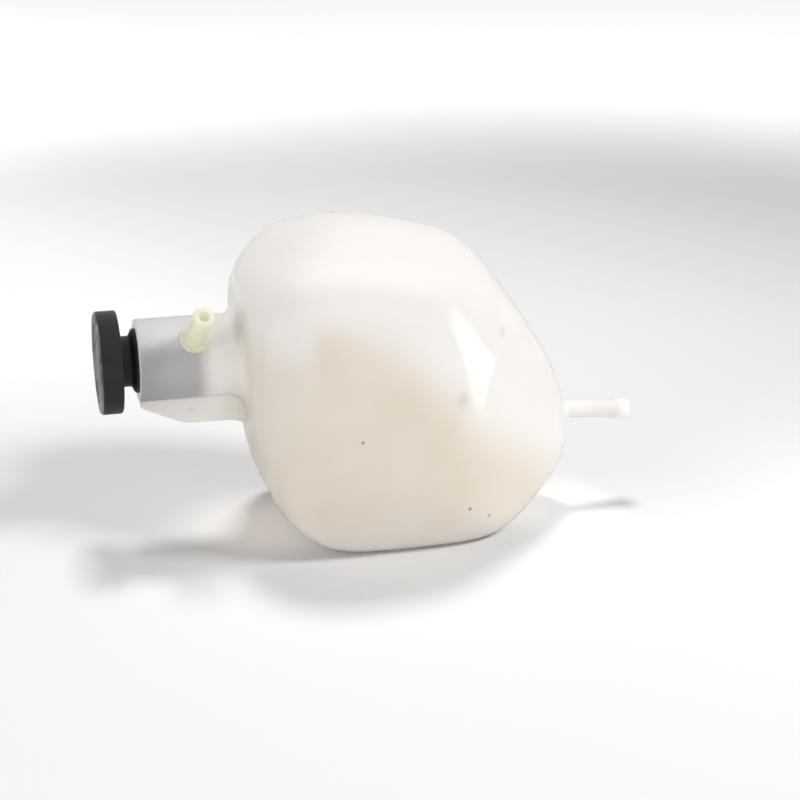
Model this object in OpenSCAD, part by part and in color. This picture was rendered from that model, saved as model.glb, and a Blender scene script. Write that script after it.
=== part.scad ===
// Coolant expansion tank with its rubber filler bung and overflow nipple.
// Millimetres. The tank lies on its flat rest face, neck axis along -X, +Z up.
// The origin is on the rest face, under the middle of the blown shell.

/* [Blown shell] */
// Height of the shell's middle above the rest face
shell_mid_h = 77; // [73:0.5:78]
// Wall thickness of the shell
wall = 2.8; // [2:0.1:3.6]
// Crispness of the edges between the mould faces, where more is sharper
edge_crispness = 13; // [9:1:16]
// Distance from the middle out to the front and back faces
side_reach = 62; // [54:0.5:68]
// Distance from the middle out to the rest face before it is flattened
rest_reach = 81; // [79:0.5:84]
// Distance from the middle out to the two roof faces
roof_reach = 78; // [72:0.5:84]
// Lean of the roof faces, as the tilt of their normals above level
roof_tilt = 67; // [60:1:76]
// Turn of the roof faces towards the outlet end
roof_turn = 32; // [20:1:44]
// Distance from the middle out to the two brow faces above the outlet
brow_reach = 69; // [65:0.5:74]
// Tilt of the brow faces' normals above level
brow_tilt = 33; // [28:1:38]
// Turn of the brow faces towards the outlet end
brow_turn = 66; // [60:1:72]
// Distance from the middle out to the two shoulder faces beside the neck
shoulder_reach = 84; // [78:0.5:90]
// Turn of the shoulder faces towards the neck end
shoulder_turn = 48; // [42:1:54]
// Tilt of the shoulder faces' normals above level
shoulder_tilt = 1; // [-1:1:3]
// Distance from the middle out to the upper and lower cheek faces
cheek_reach = 63.5; // [60:0.5:68]
// Turn of the cheek faces towards the outlet end
cheek_turn = 37; // [33:1:41]
// Tilt of the upper cheek's normal above level
upper_cheek_tilt = 9; // [7:1:12]
// Tilt of the lower cheek's normal above level
lower_cheek_tilt = 2; // [-2:1:4]
// Distance from the middle out to the two heel faces over the rest face
heel_reach = 77.5; // [73:0.5:82]
// Drop of the heel faces' normals below level
heel_drop = 27; // [22:1:32]

/* [Shell ends] */
// Distance from the middle out to the neck end
neck_end_reach = 78; // [74:0.5:84]
// Drop of the neck end's normal below level
neck_end_drop = 6; // [2:1:10]
// Distance from the middle out to the outlet end
outlet_end_reach = 90.5; // [86:0.5:96]
// Tilt of the outlet end's normal above level
outlet_end_tilt = 6; // [2:1:10]
// Distance from the middle out to the crown over the neck
crown_reach = 91; // [87:0.5:96]
// Tilt of the crown's normal above level
crown_tilt = 58; // [52:1:64]
// Distance from the middle out to the chin under the neck
chin_reach = 88; // [84:0.5:92]
// Drop of the chin's normal below level
chin_drop = 47; // [42:1:52]
// Distance from the middle out to the stern under the outlet
stern_reach = 93; // [88:0.5:98]
// Drop of the stern's normal below level
stern_drop = 59; // [54:1:64]

/* [Parting line] */
// Height of the thin ridge where the two mould halves met
seam_h = 0.5; // [0.3:0.1:0.8]
// Half width of that ridge, as an angle at the shell's middle
seam_turn = 0.8; // [0.6:0.1:1.2]

/* [Filler neck] */
// Distance from the shell's middle to the mouth of the neck
mouth_reach = 129; // [120:1:140]
// Height of the neck's axis above the shell's middle
neck_rise = 18; // [14:0.5:22]
// Outer diameter of the neck
neck_d = 40; // [37:0.5:44]
// Bore of the neck
neck_bore_d = 32; // [28:0.5:34]
// Radius of the flare that runs the neck into the shell
neck_flare = 7; // [5:0.5:10]

/* [Web under the neck] */
// Thickness of the flat web
web_t = 3; // [2:0.2:4]
// Depth of the web under the neck's axis
web_depth = 34; // [31:0.5:37]
// Depth of the web under the axis at the mouth
web_nose = 24.5; // [23.5:0.5:26]
// Length of the web's sloping front edge
web_slope = 22; // [16:1:28]

/* [Outlet spigot] */
// Height of the spigot's root above the rest face
outlet_h = 50.8; // [46:0.2:56]
// Distance from the shell's middle to the spigot's end
outlet_end = 125; // [115:1:135]
// Droop of the spigot below level
outlet_droop = 5; // [2:1:8]
// Outer diameter of the spigot
outlet_d = 9.4; // [8:0.2:11]
// Bore of the spigot
outlet_bore_d = 5.6; // [4:0.2:6.4]
// Outer diameter of the hose collar at the spigot's end
collar_d = 11.4; // [10.8:0.2:13]
// Length of the hose collar
collar_l = 8; // [6:0.5:10]
// Radius of the flare at the spigot's root
outlet_flare = 2.5; // [1.5:0.5:4]

/* [Overflow nipple] */
// Distance from the mouth to the nipple's axis
nipple_x = 24.5; // [22:0.5:30]
// Angle of the nipple above level, seen along the neck
nipple_angle = 41; // [34:1:50]
// Lean of the nipple towards the shell
nipple_lean = 6; // [0:1:9]
// Length of the nipple above the neck's surface
nipple_l = 27; // [20:0.5:30]
// Outer diameter of the nipple
nipple_d = 10.6; // [9:0.2:12]
// Bore of the nipple
nipple_bore_d = 4.8; // [3.6:0.2:5.4]
// Diameter of the shank that is pressed into the neck
shank_d = 8; // [7:0.2:8.6]
// Outer diameter of the foot ring that seats on the neck
foot_d = 13.6; // [12.6:0.2:15]
// Thickness of the foot ring
foot_t = 2.4; // [1.8:0.2:3.4]

/* [Filler bung] */
// Diameter of the bung's head
head_d = 50; // [46:0.5:54]
// Thickness of the head
head_t = 10.8; // [9:0.2:13]
// Gap between the head and the mouth
head_gap = 8.2; // [6.5:0.2:10]
// Diameter of the waist between head and mouth
waist_d = 24.6; // [22:0.2:27]
// Distance that the bung's lip stands out of the mouth
lip_out = 1.6; // [1.2:0.2:2]
// Length of the bung inside the neck
stem_l = 30; // [26:0.5:34]
// Diameter of the stem past the sealing beads
stem_d = 27; // [24:0.5:28]
// Height of the sealing beads above the plug
bead_h = 0.7; // [0.5:0.1:1]
// Radial clearance of the sealing beads in the neck bore
bung_clear = 0.3; // [0.25:0.05:0.5]
// Bore of the hollow stem
stem_bore_d = 20; // [14:0.5:21]
// Depth of the hollow stem
stem_bore_l = 26; // [20:0.5:32]
// Depth of the dish in the end face of the head
dish_depth = 0.8; // [0.6:0.1:1.2]
// Diameter of the plain raised ring in that dish
ring_d = 26; // [20:0.5:32]

/* [Hidden] */

$fn = 96;

// The neck end, the crown, the chin, the outlet end, the stern and the rest face
// cross the parting plane. Every other mould face comes as a front and back pair.
function face_dir(turn, tilt) = [sin(turn) * cos(tilt), -cos(turn) * cos(tilt), sin(tilt)];
function face(turn, tilt, reach) = [face_dir(turn, tilt), reach];
function face_pair(turn, tilt, reach) = [face(turn, tilt, reach), face(180 - turn, tilt, reach)];
mould_faces = concat(
    face_pair(0, 0, side_reach),
    face_pair(roof_turn, roof_tilt, roof_reach),
    face_pair(brow_turn, brow_tilt, brow_reach),
    face_pair(-shoulder_turn, shoulder_tilt, shoulder_reach),
    face_pair(cheek_turn, upper_cheek_tilt, cheek_reach),
    face_pair(cheek_turn, lower_cheek_tilt, cheek_reach),
    face_pair(0, -heel_drop, heel_reach),
    [
        face(0, -90, rest_reach),
        face(-90, -neck_end_drop, neck_end_reach),
        face(90, outlet_end_tilt, outlet_end_reach),
        face(-90, crown_tilt, crown_reach),
        face(-90, -chin_drop, chin_reach),
        face(90, -stern_drop, stern_reach)
    ]
);

// The parison is blown out from the middle against all the mould faces at once.
// The power sum lets each face rule where it is nearest and rounds the edges between.
function pressed(dir, inset) = [
    for (f = mould_faces) pow(max(0, f[0] * dir) / (f[1] - inset), edge_crispness)
];
function total(values, i = 0) = i < len(values) ? values[i] + total(values, i + 1) : 0;
function blown_reach(dir, inset) = pow(total(pressed(dir, inset)), -1 / edge_crispness);
function shell_dir(along, around) = [
    -cos(along),
    -sin(along) * cos(around),
    sin(along) * sin(around)
];
function shell_point(along, around, inset, ridge) =
    let (dir = shell_dir(along, around))
    let (p = dir * (blown_reach(dir, inset) + ridge))
    [p[0], p[1], max(p[2] + shell_mid_h, inset > 0 ? inset : -rest_trim)];

// The outer skin bulges below the rest plane by up to this much and is cut flat there.
rest_trim = 20;
module below_rest() {
    trim_w = 4 * side_reach;
    translate([-trim_w / 2, -trim_w / 2, -rest_trim - 1])
        cube([trim_w, trim_w, rest_trim + 1]);
}

// A closed skin from pole to pole along X, with rings of points joined by triangles.
module blown_skin(rings, around_angles, inset, ridges) {
    count = len(around_angles);
    ring_points = [
        for (i = [1 : rings - 1])
            for (j = [0 : count - 1])
                shell_point(180 * i / rings, around_angles[j], inset, ridges[j])
    ];
    points = concat([shell_point(0, 0, inset, 0)], ring_points, [shell_point(180, 0, inset, 0)]);
    last = len(points) - 1;
    sides = [
        for (i = [0 : rings - 3])
            for (j = [0 : count - 1])
                let (k = (j + 1) % count)
                let (a = 1 + i * count + j)
                let (b = 1 + i * count + k)
                each [[a, b, b + count], [a, b + count, a + count]]
    ];
    neck_cap = [for (j = [0 : count - 1]) [0, 1 + (j + 1) % count, 1 + j]];
    outlet_cap = [for (j = [0 : count - 1]) [last, last - count + j, last - count + (j + 1) % count]];
    polyhedron(points, concat(neck_cap, sides, outlet_cap), convexity = 4);
}

// The outer skin has a point on each side of the parting line, top and bottom.
outer_rings = 42;
outer_step = 6;
outer_angles = [
    for (a = [0 : outer_step : 359])
        each (a == 90 || a == 270) ? [a - seam_turn, a, a + seam_turn] : [a]
];
outer_ridges = [for (a = outer_angles) (a == 90 || a == 270) ? seam_h : 0];
inner_rings = 30;
inner_step = 7.5;
inner_angles = [for (a = [0 : inner_step : 359]) a];
inner_ridges = [for (a = inner_angles) 0];

neck_h = shell_mid_h + neck_rise;
neck_r = neck_d / 2;
neck_bore_r = neck_bore_d / 2;
shell_start = -neck_end_reach;
neck_l = mouth_reach + shell_start;
mouth_edge = 0.8;

// How far each solid runs on into the next one, so that they join without a gap.
neck_sunk = 10;
web_sunk = 8;
web_lap = 2;
bore_sunk = 16;
past_end = 1;

// Places a solid that is drawn along +Z from the mouth towards the shell.
module from_mouth() {
    translate([-mouth_reach, 0, neck_h])
        rotate([0, 90, 0])
            children();
}

// A straight tube end that opens out at its root in a concave arc.
module flared_post(radius, length, flare, sunk) {
    steps = 12;
    arc = [
        for (i = [0 : steps])
            let (a = 90 * i / steps)
            [radius + flare * (1 - cos(a)), length - flare + flare * sin(a)]
    ];
    rotate_extrude()
        polygon(concat([[0, 0], [radius, 0]], arc, [[radius + flare, length + sunk], [0, length + sunk]]));
}

module neck_solid() {
    from_mouth()
        flared_post(neck_r, neck_l, neck_flare, neck_sunk);
}

module neck_hollow() {
    from_mouth()
        rotate_extrude()
            polygon([
                [0, -past_end],
                [neck_bore_r + mouth_edge + past_end, -past_end],
                [neck_bore_r, mouth_edge],
                [neck_bore_r, neck_l + bore_sunk],
                [0, neck_l + bore_sunk]
            ]);
}

// The flat web lies in the parting plane and stiffens the underside of the neck.
module neck_web() {
    web_start = 0.4;
    nose_start = 1;
    web_fall = 0.6;
    web_end = neck_l + web_sunk;
    translate([-mouth_reach, web_t / 2, neck_h])
        rotate([90, 0, 0])
            linear_extrude(height = web_t)
                polygon([
                    [web_start, -neck_r + web_lap],
                    [nose_start, -web_nose],
                    [web_slope, -web_depth],
                    [web_end, -web_depth - web_fall],
                    [web_end, -neck_r + web_lap]
                ]);
}

// The spigot's local +Z runs from inside the shell out to its end.
outlet_root = outlet_end_reach;
outlet_sunk = 12;
outlet_free = (outlet_end - outlet_root) / cos(outlet_droop);
module from_outlet_root() {
    translate([outlet_root, 0, outlet_h])
        rotate([0, 90 + outlet_droop, 0])
            children();
}

// Its root flare starts a little inside the shell's skin and ends just outside it.
module outlet_solid() {
    outlet_r = outlet_d / 2;
    flare_start = 4;
    flare_bend = 1;
    flare_stop = 2;
    collar_ramp = 0.6;
    collar_edge = 0.9;
    from_outlet_root()
        rotate_extrude()
            polygon([
                [0, -outlet_sunk],
                [outlet_r + outlet_flare, -outlet_sunk],
                [outlet_r + outlet_flare, -flare_start],
                [outlet_r + outlet_flare / 3, -flare_bend],
                [outlet_r, flare_stop],
                [outlet_r, outlet_free - collar_l - collar_ramp],
                [collar_d / 2, outlet_free - collar_l],
                [collar_d / 2, outlet_free - collar_edge],
                [collar_d / 2 - collar_edge, outlet_free],
                [0, outlet_free]
            ]);
}

module outlet_hollow() {
    from_outlet_root()
        translate([0, 0, -outlet_sunk - past_end])
            cylinder(d = outlet_bore_d, h = outlet_sunk + outlet_free + 2 * past_end);
}

// The nipple's local +Z points out of the neck. Its origin is on the neck's axis.
module from_nipple_axis() {
    translate([-mouth_reach + nipple_x, 0, neck_h])
        rotate([90 - nipple_angle, 0, 0])
            rotate([0, nipple_lean, 0])
                children();
}

shank_clear = 0.1;
shank_start = neck_bore_r + 0.2;
shank_lap = 1;
hole_end = neck_r + 4;
nipple_tip = neck_r + nipple_l;
module nipple_hole() {
    from_nipple_axis()
        cylinder(d = shank_d + 2 * shank_clear, h = hole_end);
}

module tank() {
    color("#e9e4da")
        difference() {
            union() {
                blown_skin(outer_rings, outer_angles, 0, outer_ridges);
                neck_solid();
                neck_web();
                outlet_solid();
            }
            below_rest();
            blown_skin(inner_rings, inner_angles, wall, inner_ridges);
            neck_hollow();
            outlet_hollow();
            nipple_hole();
        }
}

module overflow_nipple() {
    color("#dcdcae")
        difference() {
            union() {
                difference() {
                    from_nipple_axis()
                        nipple_outside();
                    from_mouth()
                        cylinder(r = neck_r, h = neck_l);
                }
                from_nipple_axis()
                    translate([0, 0, shank_start])
                        cylinder(d = shank_d, h = neck_r + shank_lap - shank_start);
            }
            from_nipple_axis()
                cylinder(d = nipple_bore_d, h = nipple_tip + past_end);
        }
}

// The foot ring is saddled onto the round of the neck by the cut in overflow_nipple.
module nipple_outside() {
    saddle = neck_r - 3;
    foot_top = neck_r + foot_t;
    round_end = 1.6;
    foot_edge = 0.6;
    rotate_extrude()
        polygon([
            [0, saddle],
            [foot_d / 2, saddle],
            [foot_d / 2, foot_top - foot_edge],
            [foot_d / 2 - foot_edge, foot_top],
            [nipple_d / 2, foot_top],
            [nipple_d / 2, nipple_tip - round_end],
            [nipple_d / 2 - round_end / 3, nipple_tip - round_end / 3],
            [nipple_d / 2 - round_end, nipple_tip],
            [0, nipple_tip]
        ]);
}

module filler_bung() {
    color("#26262a")
        from_mouth()
            rotate_extrude()
                bung_profile();
}

// The profile runs from the middle of the head's end face, over the head and the waist,
// past the lip and the two sealing beads to the stem's end, and back up its bore.
module bung_profile() {
    head_r = head_d / 2;
    waist_r = waist_d / 2;
    stem_r = stem_d / 2;
    stem_bore_r = stem_bore_d / 2;
    bead_r = neck_bore_r - bung_clear;
    plug_r = bead_r - bead_h;
    face_z = -head_gap - head_t;
    dish_z = face_z + dish_depth;
    ring_r = ring_d / 2;
    ring_half = 0.8;
    ring_h = 0.5;
    rim_w = 5;
    dish_slope = 1;
    front_edge = 1.2;
    back_edge = 1;
    waist_foot = 2;
    waist_round = 1.6;
    lip_slope = 1.5;
    lip_edge = 0.5;
    lip_in = 0.3;
    bead_starts = [2, 8];
    bead_ramp = 1;
    bead_flat = 1;
    plug_end = 13;
    stem_edge = 2;
    polygon([
        [0, dish_z],
        [ring_r - ring_half - ring_h, dish_z],
        [ring_r - ring_half, dish_z - ring_h],
        [ring_r + ring_half, dish_z - ring_h],
        [ring_r + ring_half + ring_h, dish_z],
        [head_r - rim_w - dish_slope, dish_z],
        [head_r - rim_w, face_z],
        [head_r - front_edge, face_z],
        [head_r, face_z + front_edge],
        [head_r, -head_gap - back_edge],
        [head_r - back_edge, -head_gap],
        [waist_r + waist_foot, -head_gap],
        [waist_r, -head_gap + waist_round],
        [waist_r, -lip_out - lip_slope],
        [bead_r - lip_edge, -lip_out],
        [bead_r, -lip_out + lip_edge],
        [bead_r, lip_in],
        [plug_r, lip_in + bead_h],
        for (z = bead_starts)
            each [
                [plug_r, z],
                [bead_r, z + bead_ramp],
                [bead_r, z + bead_ramp + bead_flat],
                [plug_r, z + 2 * bead_ramp + bead_flat]
            ],
        [plug_r, plug_end],
        [stem_r, plug_end + stem_edge],
        [stem_r, stem_l - stem_edge],
        [stem_r - stem_edge, stem_l],
        [stem_bore_r, stem_l],
        [stem_bore_r, stem_l - stem_bore_l + stem_edge],
        [stem_bore_r - stem_edge, stem_l - stem_bore_l],
        [0, stem_l - stem_bore_l]
    ]);
}

tank();
overflow_nipple();
filler_bung();
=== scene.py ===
# %% [markdown]
# # A coolant expansion tank
# The real tank is one piece of natural polyethylene. It was blown like a bottle from a hot
# plastic tube, so its wall is one closed sheet: out over the outside, back through the inside.
# A rubber bung closes its neck, and a small yellowed nipple stands on the neck.
# This lesson loads the measured frame first, and then dresses each of the three pieces.

# %% Load the frame
import math
import bpy
import numpy as np
from mathutils import Matrix, Quaternion, Vector


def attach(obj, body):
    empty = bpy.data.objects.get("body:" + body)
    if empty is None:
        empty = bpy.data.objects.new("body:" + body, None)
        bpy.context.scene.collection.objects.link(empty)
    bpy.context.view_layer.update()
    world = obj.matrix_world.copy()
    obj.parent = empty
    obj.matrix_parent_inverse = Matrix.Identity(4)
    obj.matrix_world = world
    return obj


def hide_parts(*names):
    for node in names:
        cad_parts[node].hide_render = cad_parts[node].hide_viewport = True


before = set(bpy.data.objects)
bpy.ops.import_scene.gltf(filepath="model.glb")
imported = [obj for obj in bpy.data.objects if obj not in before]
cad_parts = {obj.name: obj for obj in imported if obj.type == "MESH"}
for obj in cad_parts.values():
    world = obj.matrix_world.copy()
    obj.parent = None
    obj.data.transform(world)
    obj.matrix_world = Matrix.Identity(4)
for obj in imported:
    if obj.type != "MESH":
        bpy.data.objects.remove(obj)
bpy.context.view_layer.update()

MM = 0.001

# %% [markdown]
# ## The camera
# The photograph looks down by 20 degrees, from a little to the left of the tank's front.
# A pinhole camera was matched to the neck, the web and the spigot. A long lens from about
# 0.9 metres gives the same slight perspective. The three directions below are the camera's
# own right, up and backwards, so they make its rotation as they stand.

# %% Camera
def look_directions(azimuth, elevation):
    a = math.radians(azimuth)
    e = math.radians(elevation)
    back = Vector((math.sin(a) * math.cos(e), -math.cos(a) * math.cos(e), math.sin(e)))
    right = Vector((math.cos(a), math.sin(a), 0))
    return right, back.cross(right), back


right, up, back = look_directions(azimuth=-14, elevation=20)
camera_data = bpy.data.cameras.new("photo_camera")
camera_data.lens = 81
camera_data.sensor_width = 36
camera = bpy.data.objects.new("photo_camera", camera_data)
camera.matrix_world = Matrix((right, up, back)).transposed().to_4x4()
camera.location = (-0.2046, -0.8310, 0.3748)
bpy.context.scene.collection.objects.link(camera)
bpy.context.scene.camera = camera
bpy.context.scene.view_settings.view_transform = "Standard"
print("Camera lens", camera_data.lens, "mm at", [round(v, 3) for v in camera.location])

# %% [markdown]
# ## Small tools for materials
# Colours are written as sRGB hex values, as a colour picker shows them. Blender's sockets want
# linear values, so one function turns them. A socket takes either a link from another node or a
# plain value, so the next one looks at what it is given. With it, one small function adds any
# node with its settings and links, and gives back the output that the next node needs.

# %% Colour and node tools
def linear(hex_colour):
    channels = [int(hex_colour[i:i + 2], 16) / 255 for i in (1, 3, 5)]
    turned = [c / 12.92 if c <= 0.04045 else ((c + 0.055) / 1.055) ** 2.4 for c in channels]
    return (*turned, 1.0)


def fill_sockets(tree, node, links):
    for socket, source in links.items():
        if isinstance(source, bpy.types.NodeSocket):
            tree.links.new(source, node.inputs[socket])
        else:
            node.inputs[socket].default_value = source


def add_node(tree, kind, links=None, output=0, **settings):
    node = tree.nodes.new("ShaderNode" + kind)
    for name, value in settings.items():
        setattr(node, name, value)
    fill_sockets(tree, node, links or {})
    return node.outputs[output]


def new_material(name):
    material = bpy.data.materials.new(name)
    material.use_nodes = True
    tree = material.node_tree
    surface = tree.nodes["Principled BSDF"]
    return material, tree, surface


print("Hex #808080 is", round(linear("#808080")[0], 3), "in linear light")

# %% [markdown]
# ## The mould faces of the shell
# A blow mould has a cavity with flat, gently rounded faces, and the hot tube swells until the
# faces stop it. Each face here is a direction and a distance from the shell's middle. A point
# is on the wall when the power sum of its distances, each as a share of its face's, is one.
# A high power keeps the faces flat and rounds only the edges. The CAD model is pressed from
# the same faces, so the two agree. They are repeated here, because a scene reads no CAD file.

# %% Mould faces, in millimetres and degrees
SHELL_MID = np.array((0.0, 0.0, 77.0))
WALL = 2.8
CRISPNESS = 13
HALVINGS = 40


def face_direction(turn, tilt):
    a = math.radians(turn)
    e = math.radians(tilt)
    return (math.sin(a) * math.cos(e), -math.cos(a) * math.cos(e), math.sin(e))


# Each face is (turn about Z, tilt upwards, distance); paired ones have a twin on the back.
paired_faces = [
    (0, 0, 62),
    (32, 67, 78),
    (66, 33, 69),
    (-48, 1, 84),
    (37, 9, 63.5),
    (37, 2, 63.5),
    (0, -27, 77.5),
]
# Single faces cross the parting plane: rest face, neck end, outlet end, crown, chin and stern.
single_faces = [
    (0, -90, 81),
    (-90, -6, 78),
    (90, 6, 90.5),
    (-90, 58, 91),
    (-90, -47, 88),
    (90, -59, 93),
]
back_faces = [(180 - turn, tilt, reach) for turn, tilt, reach in paired_faces]
mould_faces = paired_faces + back_faces + single_faces
face_normals = np.array([face_direction(turn, tilt) for turn, tilt, reach in mould_faces])
face_reaches = np.array([reach for turn, tilt, reach in mould_faces], float)


def pressed(points, inset):
    shares = np.maximum(0, (points - SHELL_MID) @ face_normals.T) / (face_reaches - inset)
    return (shares ** CRISPNESS).sum(-1) ** (1 / CRISPNESS)


def onto_wall(starts, directions, inset, low, high):
    """Sends each start out along its direction until it meets the wall, by halving the way."""
    low = np.full(len(starts), float(low))
    high = np.full(len(starts), float(high))
    for _ in range(HALVINGS):
        middle = (low + high) / 2
        inside = pressed(starts + directions * middle[:, None], inset) < 1
        low = np.where(inside, middle, low)
        high = np.where(inside, high, middle)
    return starts + directions * low[:, None]


print("Mould faces:", len(mould_faces))

# %% [markdown]
# ## The outline of the neck and its web
# Under the round neck hangs a flat web, the strip that the mould pinched shut. Neck and web are
# one wall, so each ring of the mesh goes round both, like a keyhole. The rings have the same
# number of points all along, and the same point always lies on the same part of the keyhole.

# %% Keyhole outlines
ROUND_STEPS, FILLET_STEPS, FLANK_STEPS, TIP_STEPS, EDGE_STEPS = 52, 5, 10, 4, 2
HALF_COLUMNS = ROUND_STEPS + FILLET_STEPS + FLANK_STEPS + TIP_STEPS + EDGE_STEPS
COLUMNS = 2 * HALF_COLUMNS
SEAM_STEPS = (0.45, 1.0)
TIP_ROUND = 0.8


def mirrored(half):
    """The front half from top to bottom, and then its mirror image back to the top."""
    rest = half[-2:0:-1] * (-1, 1)
    return np.concatenate([half, rest])


def keyhole(radius, half_width, depth, fillet):
    fillet_z = -math.sqrt((radius + fillet) ** 2 - (half_width + fillet) ** 2)
    last_turn = math.pi - math.asin((half_width + fillet) / (radius + fillet))
    turns = np.linspace(2 * SEAM_STEPS[1] / radius, last_turn, ROUND_STEPS - 2)
    turns = np.concatenate([[0], np.array(SEAM_STEPS) / radius, turns])
    points = [(-radius * math.sin(t), radius * math.cos(t)) for t in turns]
    first = math.atan2(-fillet_z, half_width + fillet)
    for i in range(1, FILLET_STEPS + 1):
        a = first * (1 - i / FILLET_STEPS)
        points.append((-(half_width + fillet) + fillet * math.cos(a), fillet_z + fillet * math.sin(a)))
    for z in np.linspace(fillet_z, TIP_ROUND - depth, FLANK_STEPS + 1)[1:]:
        points.append((-half_width, z))
    for i in range(1, TIP_STEPS + 1):
        a = math.pi / 2 * i / TIP_STEPS
        y = -half_width + TIP_ROUND * (1 - math.cos(a))
        points.append((y, TIP_ROUND * (1 - math.sin(a)) - depth))
    points += [(-(half_width - TIP_ROUND) / 2, -depth), (0, -depth)]
    return mirrored(np.array(points))


def round_of(outline, radius):
    return outline / np.linalg.norm(outline, axis=1)[:, None] * radius


sample = keyhole(radius=20, half_width=1.5, depth=34, fillet=2.5)
print("Columns round the tank:", COLUMNS, "and points in one outline:", len(sample))

# %% [markdown]
# ## Columns round the shell
# The neck enters one end of the shell and the spigot leaves the other. Seen from the point
# midway between them, the two lie in opposite directions, so they make natural poles for a
# globe of points. Columns run from pole to pole. Five of them lie close together at the top
# and at the bottom, where the parting line of the mould needs its thin ridge.

# %% Globe between the neck and the spigot
NECK_AXIS_Z = 95.0
MOUTH_X = -129.0
NECK_ENTRY = np.array((-78.0, 0.0, NECK_AXIS_Z))
OUTLET_ROOT = np.array((90.5, 0.0, 50.8))
OUTLET_DROOP = math.radians(5)
outlet_axis = np.array((math.cos(OUTLET_DROOP), 0, -math.sin(OUTLET_DROOP)))
outlet_up = np.array((math.sin(OUTLET_DROOP), 0, math.cos(OUTLET_DROOP)))
front = np.array((0.0, -1.0, 0.0))
globe_middle = (NECK_ENTRY + OUTLET_ROOT) / 2
pole = (NECK_ENTRY - OUTLET_ROOT) / np.linalg.norm(NECK_ENTRY - OUTLET_ROOT)
globe_up = np.cross(front, pole)
globe_up = globe_up * math.copysign(1, globe_up[2])

SEAM_RADIUS = 62
seam_angles = np.array(SEAM_STEPS) / SEAM_RADIUS
past_seam = 2.2 * seam_angles[1]
even_angles = np.linspace(past_seam, math.pi - past_seam, HALF_COLUMNS - 5)
half_angles = np.concatenate([[0], seam_angles, even_angles, math.pi - seam_angles[::-1], [math.pi]])
column_angles = np.concatenate([half_angles, 2 * math.pi - half_angles[-2:0:-1]])


def to_globe(points):
    away = points - globe_middle
    away = away / np.linalg.norm(away, axis=1)[:, None]
    theta = np.arccos(away @ pole)
    phi = np.arctan2(away @ front, away @ globe_up)
    return theta, np.where(phi < -1e-9, phi + 2 * math.pi, phi)


def from_globe(theta, phi):
    ring = np.cos(phi)[:, None] * globe_up + np.sin(phi)[:, None] * front
    return np.cos(theta)[:, None] * pole + np.sin(theta)[:, None] * ring


def flat_globe(theta, phi):
    return np.stack([theta * np.cos(phi), theta * np.sin(phi)], 1)


print("Columns:", len(column_angles), "globe middle", globe_middle.round(1))

# %% [markdown]
# ## Rings over the shell
# Near the neck each column starts square to the keyhole and then bends round to its place on
# the globe, on a smooth curve. Past that, the rings walk on to the spigot. Every point is then
# sent out from the middle until it meets the wall, as the hot plastic is.

# %% Rings from the neck to the spigot
BLEND_THETA = math.radians(66)
# A column leaves square for this share of its way, and comes in from this share of the radius.
SQUARE_START, FLAT_GOAL = 0.16, 0.62
# Rings lie closer together near the neck: this share of their spacing is even, the rest grows.
EVEN_SHARE = 0.35
SEAM_HEIGHTS = (1, 0.6, 0)


def shell_rings(first_loop, last_loop, inset, blend_rings, plain_rings, ridge):
    theta, phi = to_globe(first_loop)
    start = flat_globe(theta, phi)
    goal = flat_globe(np.full(COLUMNS, BLEND_THETA), column_angles)
    along = np.roll(start, -1, 0) - np.roll(start, 1, 0)
    square = np.stack([along[:, 1], -along[:, 0]], 1)
    square = square / np.linalg.norm(square, axis=1)[:, None]
    square = square * np.sign((square * start).sum(1))[:, None]
    spread = np.linalg.norm(goal - start, axis=1)[:, None]
    leave = start + square * spread * SQUARE_START
    arrive = goal * FLAT_GOAL
    end_theta = to_globe(last_loop)[0]
    rings = []
    for t in np.linspace(0, 1, blend_rings + 1)[1:]:
        u = EVEN_SHARE * t + (1 - EVEN_SHARE) * t * t
        flat = (1 - u) ** 3 * start + 3 * u * (1 - u) ** 2 * leave
        flat = flat + 3 * u * u * (1 - u) * arrive + u ** 3 * goal
        rings.append((np.linalg.norm(flat, axis=1), np.arctan2(flat[:, 1], flat[:, 0])))
    for t in np.linspace(0, 1, plain_rings + 1)[1:-1]:
        rings.append((BLEND_THETA + (end_theta - BLEND_THETA) * t, column_angles))
    centres = np.broadcast_to(globe_middle, (COLUMNS, 3))
    placed = []
    for ring_theta, ring_phi in rings:
        directions = from_globe(ring_theta, ring_phi)
        points = onto_wall(centres, directions, inset, low=10, high=130)
        rise = ridge * np.interp(np.abs(points[:, 1]), (0, *SEAM_STEPS), SEAM_HEIGHTS)
        points = points + directions * rise[:, None]
        points[:, 2] = np.maximum(points[:, 2], inset)
        placed.append(points)
    return placed


print("Neck columns bend on to the globe over", round(math.degrees(BLEND_THETA)), "degrees")

# %% [markdown]
# ## The whole wall as one list of rings
# The rings start on the inner edge of the mouth, go out over the neck, the shell and the spigot,
# turn in at the spigot's end, and come back through the inside to the mouth. The last ring ends
# where the first one began.

# %% Rings of the neck and the web
NECK_R = 20.0
WEB_HALF, WEB_NOSE, WEB_SLOPE, WEB_DEPTH, WEB_FILLET = 1.5, 24.5, 22.0, 34.0, 2.5
NECK_FLARE, WEB_FLARE, TIP_FLARE, FLARE_FILLET, FLARE_RINGS = 7, 2.6, 4, 3.4, 8
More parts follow.
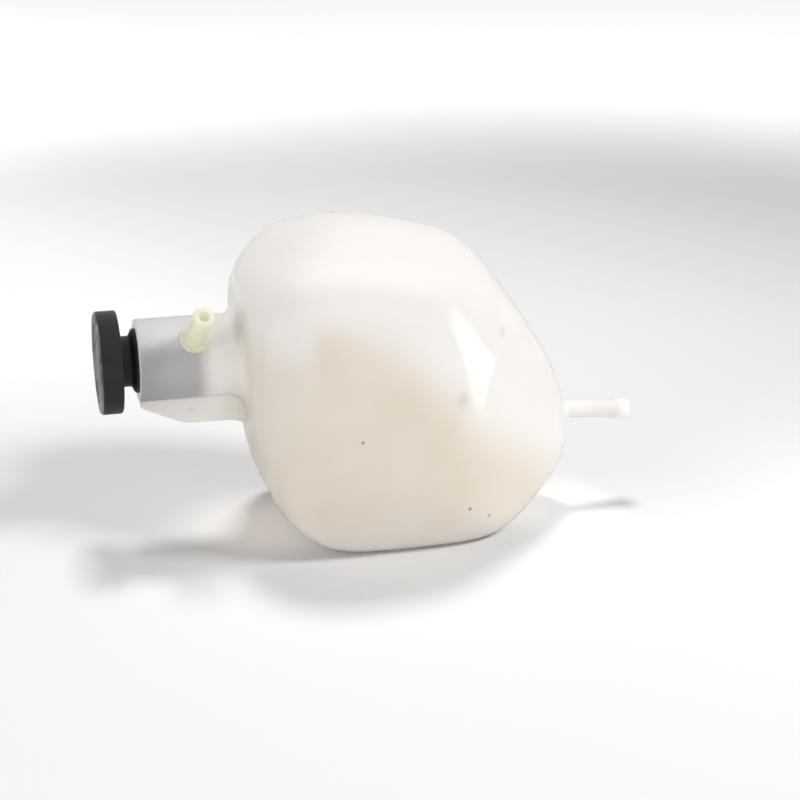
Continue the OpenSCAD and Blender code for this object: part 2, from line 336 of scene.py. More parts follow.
# From the mouth inwards, in millimetres: rings with their radius, rings with the share of the
# web's nose that has grown, plain rings, and where the web has which depth.
mouth_edge = ((0, 16.8), (0, 18.2), (0, 19.5), (0.15, 19.85), (0.5, 20.0))
web_growth = ((0.58, 0.3), (0.7, 0.62), (0.95, 0.86), (1.35, 1.0))
neck_stops = (3, 6, 10, 14, 18, 21, 23, 26, 30, 35, 40, 44)
web_stops = (1.3, WEB_SLOPE, 52)
web_depths = (WEB_NOSE + 0.2, WEB_DEPTH, WEB_DEPTH + 0.6)
nose_keyhole = keyhole(NECK_R, WEB_HALF, WEB_NOSE, WEB_FILLET)
neck_circle = round_of(nose_keyhole, 1)


def neck_ring(from_mouth, outline):
    x = np.full(COLUMNS, MOUTH_X) + from_mouth
    return np.stack([x, outline[:, 0], outline[:, 1] + NECK_AXIS_Z], 1)


def neck_outside():
    rings = [neck_ring(s, neck_circle * radius) for s, radius in mouth_edge]
    for s, share in web_growth:
        rings.append(neck_ring(s, neck_circle * NECK_R * (1 - share) + nose_keyhole * share))
    for s in neck_stops:
        depth = np.interp(s, web_stops, web_depths)
        rings.append(neck_ring(s, keyhole(NECK_R, WEB_HALF, depth, WEB_FILLET)))
    return rings


def neck_flare(neck_end):
    """Widens the neck and the web on a quarter circle until they meet the shell."""
    wide = (NECK_R + NECK_FLARE, WEB_HALF + WEB_FLARE, WEB_DEPTH + TIP_FLARE)
    outline = keyhole(*wide, FLARE_FILLET)
    starts = np.stack([np.zeros(COLUMNS), outline[:, 0], outline[:, 1] + NECK_AXIS_Z], 1)
    towards_neck = np.broadcast_to((-1.0, 0, 0), (COLUMNS, 3))
    goal = onto_wall(starts, towards_neck, inset=0, low=10, high=120)
    rings = []
    for i in range(1, FLARE_RINGS + 1):
        a = math.pi / 2 * i / FLARE_RINGS
        step = (goal - neck_end) * (math.sin(a), 1 - math.cos(a), 1 - math.cos(a))
        rings.append(neck_end + step)
    return rings


outer = neck_outside()
outer += neck_flare(outer[-1])
print("Rings on the neck and its flare:", len(outer))

# %% Rings of the shell and the spigot
OUTLET_R, OUTLET_BORE_R, COLLAR_R, OUTLET_LENGTH = 4.7, 2.8, 5.7, 34.6
OUTLET_FLARE, INSIDE_FLARE, FLARE_STEPS = 2.6, 1.2, 6
INSIDE_START = -30
PARTING_RIDGE = 0.06


def outlet_ring(along, radius):
    centre = OUTLET_ROOT + outlet_axis * along
    ring = np.cos(column_angles)[:, None] * outlet_up + np.sin(column_angles)[:, None] * front
    return centre + ring * radius


def outlet_loop(radius, inset):
    starts = outlet_ring(INSIDE_START, radius)
    along_spigot = np.broadcast_to(outlet_axis, (COLUMNS, 3))
    return onto_wall(starts, along_spigot, inset, low=0, high=60)


def outlet_flare(loop):
    goal = outlet_ring(OUTLET_FLARE, OUTLET_R)
    rings = [loop]
    for i in range(1, FLARE_STEPS):
        a = math.pi / 2 * i / FLARE_STEPS
        share = np.array((math.sin(a), 1 - math.cos(a)))
        out = (goal - loop) @ outlet_axis
        moved = loop + (goal - loop) * share[0] + outlet_axis * (out * (share[1] - share[0]))[:, None]
        rings.append(moved)
    return rings


# The spigot as (distance from its root, radius): outside, hose collar, end, and back inside.
outlet_profile = [
    (OUTLET_FLARE, OUTLET_R), (10, OUTLET_R), (18, OUTLET_R), (25.6, OUTLET_R), (26.2, 4.85),
    (26.6, 5.45), (27.1, COLLAR_R), (30, COLLAR_R), (33.3, COLLAR_R), (34.1, 5.5),
    (OUTLET_LENGTH, 4.9), (OUTLET_LENGTH, 3.6), (34.5, 3.1), (34.1, OUTLET_BORE_R),
    (25, OUTLET_BORE_R), (12, OUTLET_BORE_R), (2, OUTLET_BORE_R),
]
end_loop = outlet_loop(OUTLET_R + OUTLET_FLARE, 0)
outer += shell_rings(outer[-1], end_loop, 0, blend_rings=34, plain_rings=66, ridge=PARTING_RIDGE)
outer += outlet_flare(end_loop)
outer += [outlet_ring(along, radius) for along, radius in outlet_profile]
print("Rings on the whole outside:", len(outer))

# %% Rings of the inside and the bore
INSIDE_MOUTH_R = 18.2
BORE_END, BORE_LENGTH = 51.4, 50.4
# Each ring of the bore is (share of the way to the mouth, radius).
bore_steps = ((0, 16.6), (0.04, 16.15), (0.08, 16.0), (0.3, 16.0), (0.6, 16.0), (0.95, 16.0))
inner_last = outlet_loop(OUTLET_BORE_R + INSIDE_FLARE, WALL)
bore_outline = np.stack([-np.sin(column_angles), np.cos(column_angles)], 1)
inner_y, inner_z = (bore_outline * INSIDE_MOUTH_R).T
inner_starts = np.stack([np.zeros(COLUMNS), inner_y, inner_z + NECK_AXIS_Z], 1)
towards_mouth = np.broadcast_to((-1.0, 0, 0), (COLUMNS, 3))
inner_first = onto_wall(inner_starts, towards_mouth, WALL, low=10, high=120)
inner = shell_rings(inner_first, inner_last, WALL, blend_rings=20, plain_rings=40, ridge=0)
inner = [inner_first] + inner + [inner_last]
bore = []
for share, radius in bore_steps:
    mixed = bore_outline * (1 - share) + neck_circle * share
    from_mouth = (1 - share) * BORE_LENGTH if share else BORE_END
    bore.append(neck_ring(from_mouth, round_of(mixed, radius)))
bore += [neck_ring(s, neck_circle * radius) for s, radius in ((0.5, 16.15), (0.15, 16.45))]
wall_rings = outer + inner[::-1] + bore + [outer[0]]
wall_rings = np.array(wall_rings)
print("Rings along the wall:", len(wall_rings))

# %% [markdown]
# ## Blowing the tank
# The mesh starts as the hot tube does: an open cylinder, cut into rings. Each of its vertices
# knows its place along the tube and round it, and moves to that place on the wall. The two open
# ends meet at the mouth, where merging by distance closes the sheet.

# %% From a tube to the tank
def only(obj):
    bpy.ops.object.select_all(action="DESELECT")
    obj.select_set(True)
    bpy.context.view_layer.objects.active = obj


TUBE_R, TUBE_LENGTH, SAME_POINT = 0.02, 0.2, 0.00001
# The inside skin starts on the last rings of the spigot's bore.
first_inside_ring = len(outer) - 3


def hot_tube():
    bpy.ops.object.select_all(action="DESELECT")
    bpy.ops.mesh.primitive_cylinder_add(
        vertices=COLUMNS, radius=TUBE_R, depth=TUBE_LENGTH, end_fill_type="NOTHING"
    )
    tube = bpy.context.object
    tube.name = "blown_tank"
    tube.data.name = "blown_tank"
    bpy.ops.object.mode_set(mode="EDIT")
    bpy.ops.mesh.select_all(action="DESELECT")
    bpy.ops.object.mode_set(mode="OBJECT")
    for edge in tube.data.edges:
        a, b = (tube.data.vertices[i].co for i in edge.vertices)
        edge.select = abs(a.z - b.z) > TUBE_LENGTH / 2
    bpy.ops.object.mode_set(mode="EDIT")
    bpy.ops.mesh.subdivide(number_cuts=len(wall_rings) - 2)
    bpy.ops.object.mode_set(mode="OBJECT")
    return tube


def blow(tube):
    places = np.zeros(len(tube.data.vertices) * 3)
    tube.data.vertices.foreach_get("co", places)
    places = places.reshape(-1, 3)
    along = (places[:, 2] + TUBE_LENGTH / 2) / TUBE_LENGTH
    ring = np.rint(along * (len(wall_rings) - 1)).astype(int)
    turn = np.arctan2(places[:, 0], places[:, 1]) % (2 * math.pi)
    column = np.rint(turn / (2 * math.pi) * COLUMNS).astype(int) % COLUMNS
    tube.data.vertices.foreach_set("co", (wall_rings[ring, column] * MM).ravel())
    for polygon in tube.data.polygons:
        polygon.material_index = int(min(ring[i] for i in polygon.vertices) >= first_inside_ring)
    tube.location = (0, 0, 0)
    bpy.ops.object.mode_set(mode="EDIT")
    bpy.ops.mesh.select_all(action="SELECT")
    bpy.ops.mesh.remove_doubles(threshold=SAME_POINT)
    bpy.ops.mesh.normals_make_consistent(inside=False)
    bpy.ops.object.mode_set(mode="OBJECT")


tank = hot_tube()
blow(tank)
print("Tank:", len(tank.data.vertices), "vertices,", len(tank.data.polygons), "faces")

# %% [markdown]
# ## The hole in the neck
# The nipple is a part of its own, pressed into a hole in the neck's wall. A hole could be left
# open between the rings, but a drill makes the real one, so a cylinder cuts it here with a
# boolean. It has 0.1 mm of play round the shank, and stands where the nipple will stand.

# %% Hole for the nipple's shank
NIPPLE_X, NIPPLE_ANGLE, NIPPLE_LEAN = 24.5, 41, 6
HOLE_R, DRILL_LENGTH = 4.1, 24
SMOOTH_BELOW = math.radians(38)
nipple_place = (
    Matrix.Translation((MOUTH_X + NIPPLE_X, 0, NECK_AXIS_Z))
    @ Matrix.Rotation(math.radians(90 - NIPPLE_ANGLE), 4, "X")
    @ Matrix.Rotation(math.radians(NIPPLE_LEAN), 4, "Y")
)
to_metres = Matrix.Scale(MM, 4)


def in_place(obj, place):
    """Puts a piece that was turned about Z at the origin in millimetres to its real place."""
    obj.data.transform(to_metres @ place)
    obj.matrix_world = Matrix.Identity(4)


bpy.ops.object.select_all(action="DESELECT")
bpy.ops.mesh.primitive_cylinder_add(
    vertices=64, radius=HOLE_R, depth=DRILL_LENGTH, location=(0, 0, DRILL_LENGTH / 2)
)
drill = bpy.context.object
bpy.ops.object.transform_apply(location=True)
in_place(drill, nipple_place)
cut = tank.modifiers.new("nipple_hole", "BOOLEAN")
cut.operation = "DIFFERENCE"
cut.object = drill
cut.solver = "EXACT"
only(tank)
bpy.ops.object.modifier_apply(modifier="nipple_hole")
bpy.data.objects.remove(drill)
bpy.ops.object.shade_smooth_by_angle(angle=SMOOTH_BELOW)
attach(tank, "tank_body")
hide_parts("tank")
print("Tank with its hole:", len(tank.data.polygons), "faces")

# %% [markdown]
# ## Turned pieces
# The bung and the nipple are round, so both can be built as on a lathe: a disc is added, and its
# rim is extruded and resized from one step of the profile to the next. Edges then get a small
# bevel, because moulded parts have no sharp ones, and the bevel catches a fine line of light.

# %% Lathe
def turned(name, profile, columns):
    """profile holds (distance along Z, radius) steps in millimetres, from one end to the other."""
    bpy.ops.object.select_all(action="DESELECT")
    start, radius = profile[0]
    bpy.ops.mesh.primitive_circle_add(
        vertices=columns, radius=radius, fill_type="NGON", location=(0, 0, start)
    )
    piece = bpy.context.object
    piece.name = name
    piece.data.name = name
    bpy.ops.object.transform_apply(location=True)
    bpy.ops.object.mode_set(mode="EDIT")
    bpy.ops.mesh.select_all(action="SELECT")
    for along, new_radius in profile[1:]:
        bpy.ops.mesh.extrude_region_move(
            TRANSFORM_OT_translate={"value": (0, 0, along - start)}
        )
        share = new_radius / radius
        bpy.ops.transform.resize(value=(share, share, 1), center_override=(0, 0, along))
        start, radius = along, new_radius
    bpy.ops.mesh.select_all(action="SELECT")
    bpy.ops.mesh.normals_make_consistent(inside=False)
    bpy.ops.object.mode_set(mode="OBJECT")
    return piece


def finish_edges(piece, width, angle):
    bevel = piece.modifiers.new("soft_edges", "BEVEL")
    bevel.width = width
    bevel.segments = 2
    bevel.limit_method = "ANGLE"
    bevel.angle_limit = math.radians(angle)
    bevel.harden_normals = False
    only(piece)
    bpy.ops.object.modifier_apply(modifier="soft_edges")
    bpy.ops.object.shade_smooth_by_angle(angle=math.radians(35))


print("The lathe turns (distance, radius) steps in mm about Z, at the origin")

# %% [markdown]
# ## The rubber bung
# The bung is pressed in a mould as one piece: a disc for the hand with a shallow dish and a plain
# ring on its face, a groove, a lip at the mouth, two beads that seal in the neck, and a hollow
# stem. One profile goes over all of them, from the dish along the outside and into the hollow.

# %% Bung
bung_profile = [
    (-18.2, 8.0), (-18.2, 11.7), (-18.7, 12.2), (-18.7, 13.8), (-18.2, 14.3), (-18.2, 19.0),
    (-19.0, 20.0), (-19.0, 23.8), (-18.2, 24.8), (-17.6, 25.0), (-9.2, 25.0), (-8.4, 24.6),
    (-8.2, 24.0), (-8.2, 14.6), (-7.6, 13.0), (-6.4, 12.3), (-3.3, 12.3), (-2.9, 12.7),
    (-1.9, 14.7), (-1.5, 15.3), (-1.0, 15.7), (0.2, 15.7), (1.0, 15.0), (2.0, 15.0),
    (3.0, 15.7), (4.0, 15.7), (5.0, 15.0), (8.0, 15.0), (9.0, 15.7), (10.0, 15.7),
    (11.0, 15.0), (13.0, 15.0), (15.0, 13.5), (28.0, 13.5), (29.4, 12.9), (30.0, 11.5),
    (30.0, 10.0), (6.0, 10.0), (4.0, 8.0),
]
bung = turned("rubber_bung", bung_profile, 96)
finish_edges(bung, width=0.35, angle=28)
bung_place = Matrix.Translation((MOUTH_X, 0, NECK_AXIS_Z)) @ Matrix.Rotation(math.radians(90), 4, "Y")
in_place(bung, bung_place)
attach(bung, "bung_body")
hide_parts("filler_bung")
print("Bung:", len(bung.data.polygons), "faces")

# %% [markdown]
# ## The overflow nipple
# The nipple is a short tube for a thin hose. Its shank sits in the wall, a foot ring rests on the
# neck, and its end is rounded so that the hose slips on. It is turned like the bung, from the
# shank along the outside to the end, and back through the bore.

# %% Nipple
nipple_profile = [
    (16.3, 2.4), (16.3, 4.0), (19.6, 4.0), (19.6, 6.8), (21.9, 6.8), (22.4, 6.3), (22.4, 5.5),
    (23.2, 5.3), (45.2, 5.3), (46.1, 5.05), (46.7, 4.5), (47.0, 3.7), (47.0, 2.9), (46.6, 2.4),
    (20.0, 2.4), (17.0, 2.4),
]
nipple = turned("overflow_nipple_piece", nipple_profile, 64)
finish_edges(nipple, width=0.2, angle=30)
in_place(nipple, nipple_place)
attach(nipple, "tank_body")
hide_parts("overflow_nipple")
print("Nipple:", len(nipple.data.polygons), "faces")

# %% [markdown]
# ## Masks and layers for the finishes
# Every finish is laid out in the piece's own coordinates, which here are the frame's own, in
# metres. A finish changes from place to place, as under an old level or on one face. Such a place
# is a region: a few soft edges, each a span of one value, multiplied with each other. A spot is a
# region round a point. Colours are then laid over each other like paint, each in its region.

# %% Regions and layers
def region(tree, *edges, full=1.0):
    """0 up to each edge's start and full past each one's end; a start may be above its end."""
    for value, start, end in edges:
        links = {"Value": value, "From Min": start, "From Max": end, "To Max": full}
        full = add_node(tree, "MapRange", links, interpolation_type="SMOOTHSTEP")
    return full


def near_point(tree, place, point_mm, reach_mm, edge_mm, full=1.0):
    """A soft spot: full up to reach_mm from the point, and gone edge_mm further out."""
    point = tuple(v * MM for v in point_mm)
    away = add_node(tree, "VectorMath", {0: place, 1: point}, "Value", operation="DISTANCE")
    return region(tree, (away, (reach_mm + edge_mm) * MM, reach_mm * MM), full=full)


SHARE, COLOUR_A, COLOUR_B, MIXED = 0, 6, 7, 2


def layered(tree, colour, *layers):
    """Lays each layer's colour over what is under it, as far as its mask says."""
    for mask, over in layers:
        links = {SHARE: mask, COLOUR_A: colour, COLOUR_B: over}
        colour = add_node(tree, "Mix", links, MIXED, data_type="RGBA")
    return colour


def scale_for(size_mm):
    """The scale of a noise whose patches are size_mm across."""
    return 1 / (size_mm * MM)


print("A patch of 24 mm needs a noise scale of", round(scale_for(24), 1))

# %% [markdown]
# ## Natural polyethylene
# Uncoloured polyethylene is milky. Most of the light that meets the wall bounces back, and about
# a third goes through it and spreads out, as in paper, so the side away from the lamps glows.
# More goes through at the neck, and there the black stem shows as a soft grey patch. Low on the neck
# still more goes through, which makes it darker there: painted shade. A darker beige tint lies under a
# slanting level: partly the stain of old coolant that stood there, partly painted shade of the front
# panel. Small specks of dirt stick to the outside, and a few faint darker spots are laid on it.
# Subsurface scattering would be the usual choice, but in a wall this thin it came out grey. So
# the outside skin mixes a bouncing and a translucent shader, under a thin clear coat.

# %% The beige tint: coolant stain and painted shade
# Each edge is (where the tint starts, where it is full), in metres.
FRONT_FACE_X = (-0.059, -0.046)
LOW_ON_FACE_Z = (0.134, 0.11)
LOW_ON_END_Z = (0.122, 0.088)
PAST_NECK_X = (-0.092, -0.07)
ABOVE_FOOT_Z = (-0.02, 0.045)
LEVEL_SLOPE = 0.9
UNDER_LEVEL = (0.118, 0.072)
END_STRENGTH = 0.78
TINT_PATCH_MM = 42
WEAKEST_PATCH, STRONGEST_PATCH = 0.322, 1.334


# A darker beige tint: partly old coolant under its level, partly painted shade low on the front panel.
def coolant_stain_and_painted_shade(tree, place, axes):
    links = {0: axes["X"], 1: LEVEL_SLOPE, 2: axes["Z"]}
    level = add_node(tree, "Math", links, operation="MULTIPLY_ADD")
    low_face = region(tree, (axes["Z"], *LOW_ON_FACE_Z), (axes["X"], *FRONT_FACE_X))
    low_end = region(tree, (axes["Z"], *LOW_ON_END_Z), (axes["X"], *FRONT_FACE_X[::-1]))
    links = {0: low_end, 1: END_STRENGTH, 2: low_face}
    low = add_node(tree, "Math", links, operation="MULTIPLY_ADD")
    edges = ((level, *UNDER_LEVEL), (axes["X"], *PAST_NECK_X), (axes["Z"], *ABOVE_FOOT_Z))
    tint = region(tree, *edges, full=low)
    links = {"Vector": place, "Scale": scale_for(TINT_PATCH_MM), "Detail": 2.0}
    patches = add_node(tree, "TexNoise", links)
    links = {"Value": patches, "To Min": WEAKEST_PATCH, "To Max": STRONGEST_PATCH}
    uneven = add_node(tree, "MapRange", links)
    return add_node(tree, "Math", {0: tint, 1: uneven}, operation="MULTIPLY")


print("The tint ends at the level X *", LEVEL_SLOPE, "+ Z =", UNDER_LEVEL[0], "m")

# %% Specks of dirt and faint darker spots on the outside
# Each spot is (its middle, how far it is full, its soft edge), in millimetres.
specks = [
    ((-30.7, -61.6, 66.2), 0.5, 0.6),
    ((24.0, -55.3, 24.1), 0.6, 0.7),
    ((35.3, -50.3, 17.5), 0.5, 0.5),
]
# Three faint darker spots: low on the front, at the end of the upper crease, and on the web.
faint_dark_spots = [
    ((19.1, -57.8, 82.0), 0.4, 5.5),
    ((44.6, -36.1, 107.2), 0.3, 3.5),
    ((-103.6, -1.5, 68.1), 0.2, 2.2),
]
FAINT_SPOT_STRENGTH = 0.35


def specked_and_spotted(tree, place, colour):
    for point, reach, edge in specks:
        spot = near_point(tree, place, point, reach, edge)
        colour = layered(tree, colour, (spot, linear("#8d8478")))
    for point, reach, edge in faint_dark_spots:
        spot = near_point(tree, place, point, reach, edge, full=FAINT_SPOT_STRENGTH)
        colour = layered(tree, colour, (spot, linear("#b9b0a8")))
    return colour


print("Specks:", len(specks), "and smudges:", len(faint_dark_spots))

# %% Outside skin: blow-moulded natural polyethylene
# A blown wall gives the eye a soft milky white with a faint haze, and its coat gives one crisp
# highlight. The slow waves of the hot plastic, 9 mm long, blur the gloss under the coat.
HAZE_MM = 24
WAVE_MM = 9
THIN_NECK_X = (-0.092, -0.103)
ABOVE_WEB_Z = (0.072, 0.077)
SHADE_LOW_ON_NECK_Z = (0.1105, 0.1025)
THROUGH_SHELL = 0.3
MORE_AT_NECK = 0.31
SHADED_NECK_THROUGH_SHARE = 0.53


def natural_polyethylene():
    material, tree, surface = new_material("blow_moulded_natural_polyethylene")
    place = add_node(tree, "TexCoord", output="Object")
    axes = add_node(tree, "SeparateXYZ", {0: place}).node.outputs
    haze = add_node(tree, "TexNoise", {"Vector": place, "Scale": scale_for(HAZE_MM), "Detail": 4.0})
    waves = add_node(tree, "TexNoise", {"Vector": place, "Scale": scale_for(WAVE_MM), "Detail": 3.0})
    normal = add_node(tree, "Bump", {"Height": waves, "Distance": 0.12 * MM, "Strength": 0.35})
    rough = add_node(tree, "MapRange", {"Value": haze, "To Min": 0.34, "To Max": 0.5})
    stain_and_shade = coolant_stain_and_painted_shade(tree, place, axes)
    clean = layered(tree, linear("#f9f8f6"), (haze, linear("#fefdfc")))
    bounced = specked_and_spotted(tree, place, layered(tree, clean, (stain_and_shade, linear("#ece2d3"))))
    links = {"Base Color": bounced, "Roughness": rough, "Normal": normal}
    fill_sockets(tree, surface, {**links, "IOR": 1.51, "Coat Weight": 1.0, "Coat Roughness": 0.04})
    neck = region(tree, (axes["X"], *THIN_NECK_X), (axes["Z"], *ABOVE_WEB_Z))
    layers = ((neck, linear("#fdfdff")), (stain_and_shade, linear("#f4e8d4")))
    spread = layered(tree, linear("#fdf6ea"), *layers)
    through = add_node(tree, "BsdfTranslucent", {"Color": spread, "Normal": normal})
    # Low on the neck the translucent share rises, which darkens it there: painted shade.
    start, end = SHADE_LOW_ON_NECK_Z
    links = {"Value": axes["Z"], "From Min": start, "From Max": end}
    links = {**links, "To Min": MORE_AT_NECK, "To Max": SHADED_NECK_THROUGH_SHARE}
    more = add_node(tree, "MapRange", links, interpolation_type="SMOOTHSTEP")
    share = add_node(tree, "Math", {0: neck, 1: more, 2: THROUGH_SHELL}, operation="MULTIPLY_ADD")
    skin = add_node(tree, "MixShader", {0: share, 1: surface.outputs[0], 2: through})
    fill_sockets(tree, tree.nodes["Material Output"], {"Surface": skin})
    return material


outside_finish = natural_polyethylene()
print("Outside skin:", len(outside_finish.node_tree.nodes), "nodes")

# %% [markdown]
# ## The inside skin
# The wall is one thickness of plastic, but its mesh has two faces. If both of them spread the
# light, it would be spread twice. So the inside skin is nearly clear. To the eye it adds no more
# than a faint veil, seen where one looks into the neck or the spigot.

# %% Inside skin
INSIDE_CLEAR_SHARE = 0.94


def inside_skin():
    material, tree, surface = new_material("polyethylene_inside_skin")
    fill_sockets(tree, surface, {"Base Color": linear("#fbf9f6"), "Roughness": 0.3})
    clear = add_node(tree, "BsdfTransparent", {"Color": linear("#fffefc")})
    skin = add_node(tree, "MixShader", {0: INSIDE_CLEAR_SHARE, 1: surface.outputs[0], 2: clear})
    fill_sockets(tree, tree.nodes["Material Output"], {"Surface": skin})
    return material


inside_finish = inside_skin()
tank.data.materials.clear()
tank.data.materials.append(outside_finish)
tank.data.materials.append(inside_finish)
print("Tank finishes:", [m.name for m in tank.data.materials])

# %% [markdown]
# ## Moulded black rubber
# The bung is soft rubber, blackened with soot and pressed in a mould. It gives the eye a dull
# near-black with a weak broad sheen, because rubber reflects little and its grain breaks the gloss up.
# The end face is a lighter grey in uneven patches: partly settled dust, partly a painted sheen of the
# light that grazes it. Soot black is never quite black, so two dark greys are mixed over patches of 7
# mm. The real grain is finer than a pixel of the picture, and is drawn at 0.8 mm, where it just shows.

# %% Rubber
BLOOM_MM = 7
DUST_AND_SHEEN_MM = 11
RUBBER_GRAIN_MM = 0.8
END_FACE_X = (-0.1467, -0.1474)
DUST_AND_SHEEN_SPAN = (0.25, 0.8)


def moulded_rubber():
    material, tree, surface = new_material("moulded_black_rubber")
    place = add_node(tree, "TexCoord", output="Object")
    axes = add_node(tree, "SeparateXYZ", {0: place}).node.outputs
    links = {"Vector": place, "Scale": scale_for(BLOOM_MM), "Detail": 5.0, "Roughness": 0.6}
    bloom = add_node(tree, "TexNoise", links)
    links = {"Vector": place, "Scale": scale_for(DUST_AND_SHEEN_MM), "Detail": 6.0, "Roughness": 0.7}
    patches = add_node(tree, "TexNoise", links)
    # The end face's lighter grey: partly dust, partly painted sheen.
    dust_and_sheen = region(tree, (axes["X"], *END_FACE_X), (patches, *DUST_AND_SHEEN_SPAN))
    layers = ((bloom, linear("#29292c")), (dust_and_sheen, linear("#9a9a9c")))
    colour = layered(tree, linear("#17171a"), *layers)
    rough = add_node(tree, "MapRange", {"Value": bloom, "To Min": 0.42, "To Max": 0.62})
    links = {"Vector": place, "Scale": scale_for(RUBBER_GRAIN_MM), "Detail": 2.0}
    grain = add_node(tree, "TexNoise", links)
    normal = add_node(tree, "Bump", {"Height": grain, "Distance": 0.05 * MM, "Strength": 0.5})
    links = {"Base Color": colour, "Roughness": rough, "Normal": normal}
    fill_sockets(tree, surface, {**links, "Specular IOR Level": 0.22})
    return material


bung.data.materials.append(moulded_rubber())
print("Bung finish:", bung.data.materials[0].name)

# %% [markdown]
# ## Yellowed nylon
# The nipple is a pale nylon, moulded and then yellowed by the heat of the engine. It gives the
# eye a warm, waxy cream: half of the light goes through its thin wall, so its shaded side stays
# nearly as bright as its lit side. Age has tinted it unevenly, in patches of 6 mm.

# %% Nylon
AGE_MM = 6
NYLON_THROUGH_SHARE = 0.5


def yellowed_nylon():
    material, tree, surface = new_material("yellowed_moulded_nylon")
    place = add_node(tree, "TexCoord", output="Object")
    age = add_node(tree, "TexNoise", {"Vector": place, "Scale": scale_for(AGE_MM), "Detail": 3.0})
    colour = layered(tree, linear("#e9e6d6"), (age, linear("#f1efe0")))
    normal = add_node(tree, "Bump", {"Height": age, "Distance": 0.05 * MM, "Strength": 0.3})
    fill_sockets(tree, surface, {"Base Color": colour, "Roughness": 0.38, "Normal": normal})
    through = add_node(tree, "BsdfTranslucent", {"Color": linear("#fcfbf0")})
    links = {0: NYLON_THROUGH_SHARE, 1: surface.outputs[0], 2: through}
    skin = add_node(tree, "MixShader", links)
    fill_sockets(tree, tree.nodes["Material Output"], {"Surface": skin})
    return material


nipple.data.materials.append(yellowed_nylon())
print("Nipple finish:", nipple.data.materials[0].name)

# %% [markdown]
# ## The white table
# The photograph has a white table that runs into a white background with no edge. The table here is a
# large matt board that takes the soft shadows; its colour is darker to the right, a painted shade. It
# may not be made white by more light, because the tank would get that light too. So the far table
# glows, but only for the rays that show the background: from the camera, off a gloss or through glass.
# A milky tank also passes light on to the table beside it. The few bounces of a render lose
# that light, so two soft spots of the same glow stand for it, the left one a little warmer.

# %% Table top
ACROSS_SLOPE = 0.35
PAINTED_SHADE_RIGHT = (0.2, 0.85)
LEFT_SIDE = (0.28, 0.0)
BEHIND_TANK_Y = (0.1, 0.35)
FAR_AWAY = (0.75, 1.3)
BEHIND_GLOW, FAR_GLOW, BESIDE_GLOW = 0.16, 0.6, 0.21


def background_rays(tree):
    """1 for the rays that show the background; light that has met the milky wall isn't one."""
    rays = add_node(tree, "LightPath").node.outputs
    links = {0: rays["Is Camera Ray"], 1: rays["Is Glossy Ray"]}
    straight = add_node(tree, "Math", links, operation="ADD")
    links = {0: rays["Is Transmission Ray"], 1: rays["Is Diffuse Ray"]}
    clear = add_node(tree, "Math", links, operation="SUBTRACT")
    return add_node(tree, "Math", {0: straight, 1: clear}, operation="MAXIMUM")


def table_glow(tree, place, axes, across, beside_left):
    edges = ((across, *LEFT_SIDE), (axes["Y"], *BEHIND_TANK_Y))
    behind = region(tree, *edges, full=BEHIND_GLOW)
    distance = add_node(tree, "VectorMath", {0: place}, "Value", operation="LENGTH")
    far = region(tree, (distance, *FAR_AWAY), full=FAR_GLOW)
    glow = add_node(tree, "Math", {0: behind, 1: far}, operation="ADD")
    beside_right = near_point(tree, place, (76, -8, 0), 10, 42)
    beside = add_node(tree, "Math", {0: beside_left, 1: beside_right}, operation="ADD")
    glow = add_node(tree, "Math", {0: beside, 1: BESIDE_GLOW, 2: glow}, operation="MULTIPLY_ADD")
    return add_node(tree, "Math", {0: glow, 1: background_rays(tree)}, operation="MULTIPLY")


def white_table_top():
    material, tree, surface = new_material("white_table_top")
    place = add_node(tree, "TexCoord", output="Object")
    axes = add_node(tree, "SeparateXYZ", {0: place}).node.outputs
    links = {0: axes["Y"], 1: ACROSS_SLOPE, 2: axes["X"]}
    across = add_node(tree, "Math", links, operation="MULTIPLY_ADD")
    # The board's colour darkens to the right: painted shade.
    painted_shade_right = region(tree, (across, *PAINTED_SHADE_RIGHT))
    board = layered(tree, linear("#e6e6e6"), (painted_shade_right, linear("#c4c4c5")))
    beside_left = near_point(tree, place, (-70, 2, 0), 10, 50)
    glow = table_glow(tree, place, axes, across, beside_left)
    warm = layered(tree, linear("#ffffff"), (beside_left, linear("#fff0df")))
    links = {"Base Color": board, "Emission Color": warm, "Emission Strength": glow}
    fill_sockets(tree, surface, {**links, "Roughness": 0.9, "Specular IOR Level": 0.1})
    return material


bpy.ops.object.select_all(action="DESELECT")
bpy.ops.mesh.primitive_plane_add(size=60, location=(0, 0, 0))
floor = bpy.context.object
floor.name = "white_table"
floor.data.materials.append(white_table_top())
print("Table:", [round(v) for v in floor.dimensions], "m")

# %% [markdown]
# ## The lamps
# A softbox high on the right in front is the key, and its shadow falls to the left. A second one,
# above the tank and a little behind it, throws the shadow that comes forward. Three weak fills
# from the left and the front lift the sides that both softboxes miss. Gloss doesn't show these
# five, because the photograph has no mirror images of such lamps. The small panel close on the
# right is the only one that gloss shows: it is the tilted bright bar on the cheek of the shell.

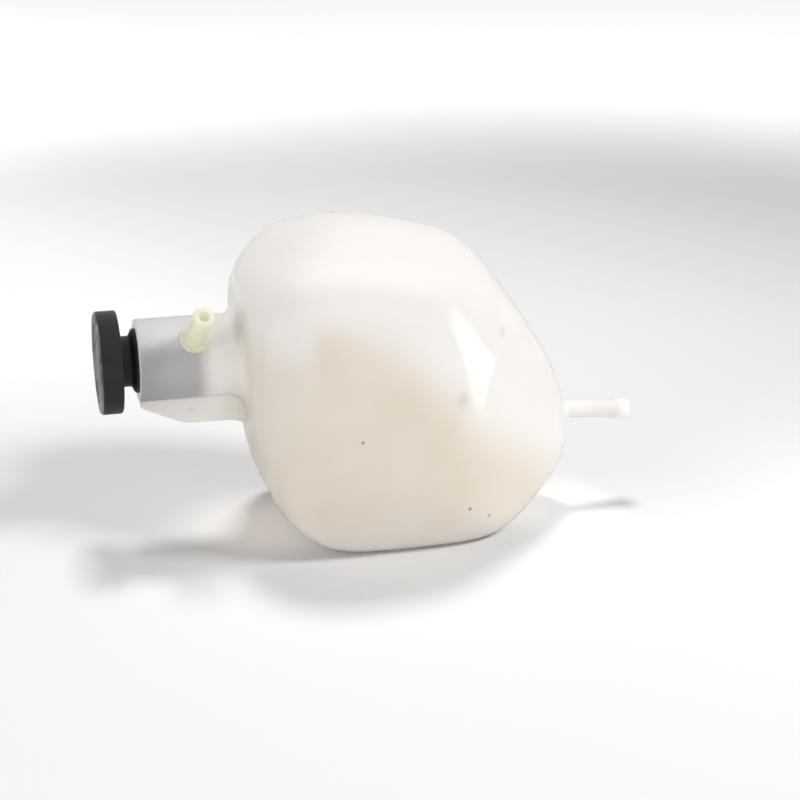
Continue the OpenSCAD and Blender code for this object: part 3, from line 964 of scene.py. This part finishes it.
# %% Soft lamps
def soft_lamp(name, place, target, size, watts, roll):
    lamp_data = bpy.data.lights.new(name, "AREA")
    lamp_data.shape = "RECTANGLE"
    lamp_data.size, lamp_data.size_y = size
    lamp_data.energy = watts
    lamp = bpy.data.objects.new(name, lamp_data)
    lamp.location = place
    aim = Vector(target) - Vector(place)
    turn = aim.to_track_quat("-Z", "Y") @ Quaternion((0, 0, 1), math.radians(roll))
    lamp.rotation_euler = turn.to_euler()
    bpy.context.scene.collection.objects.link(lamp)
    return lamp


# Each lamp is (name, place, target, width and height, watts, roll in degrees, seen in gloss).
lamps = [
    ("key_softbox", (1.64, -1.16, 2.0), (0, 0, 0.05), (0.7, 0.5), 43.5, 0, False),
    ("top_softbox", (0.12, 0.73, 2.6), (0, 0, 0.05), (0.5, 0.5), 37.5, 0, False),
    ("left_fill", (-1.85, -0.95, 0.62), (0, 0, 0.08), (1.0, 1.0), 15, 0, False),
    ("upper_left_fill", (-1.4, -0.1, 1.0), (0, 0, 0.12), (0.8, 0.8), 3.8, 0, False),
    ("front_fill", (0.3, -1.9, 0.2), (0, 0, 0.04), (1.0, 0.4), 8, 0, False),
    ("right_panel", (0.315, -0.129, 0.07), (0.028, -0.041, 0.07), (0.112, 0.15), 0.13, 37, True),
]
for name, place, target, size, watts, roll, in_gloss in lamps:
    lamp = soft_lamp(name, place, target, size, watts, roll)
    lamp.visible_glossy = in_gloss
print("Lamps:", [row[0] for row in lamps])

# %% [markdown]
# ## The room
# The room lights everything a little from all sides. Background rays see it as plain white, so
# the picture has the photograph's white background and the coat mirrors a white room, while the
# tank gets no more light than the weak room gives.

# %% Bright room
ROOM_STRENGTH = 0.1
world = bpy.data.worlds.new("bright_room")
world.use_nodes = True
world_tree = world.node_tree
room = world_tree.nodes["Background"]
fill_sockets(world_tree, room, {"Color": linear("#ffffff"), "Strength": ROOM_STRENGTH})
seen_room = add_node(world_tree, "Background", {"Color": linear("#ffffff"), "Strength": 1.0})
seen = background_rays(world_tree)
sky = add_node(world_tree, "MixShader", {0: seen, 1: room.outputs[0], 2: seen_room})
fill_sockets(world_tree, world_tree.nodes["World Output"], {"Surface": sky})
bpy.context.scene.world = world
print("Room strength:", ROOM_STRENGTH)
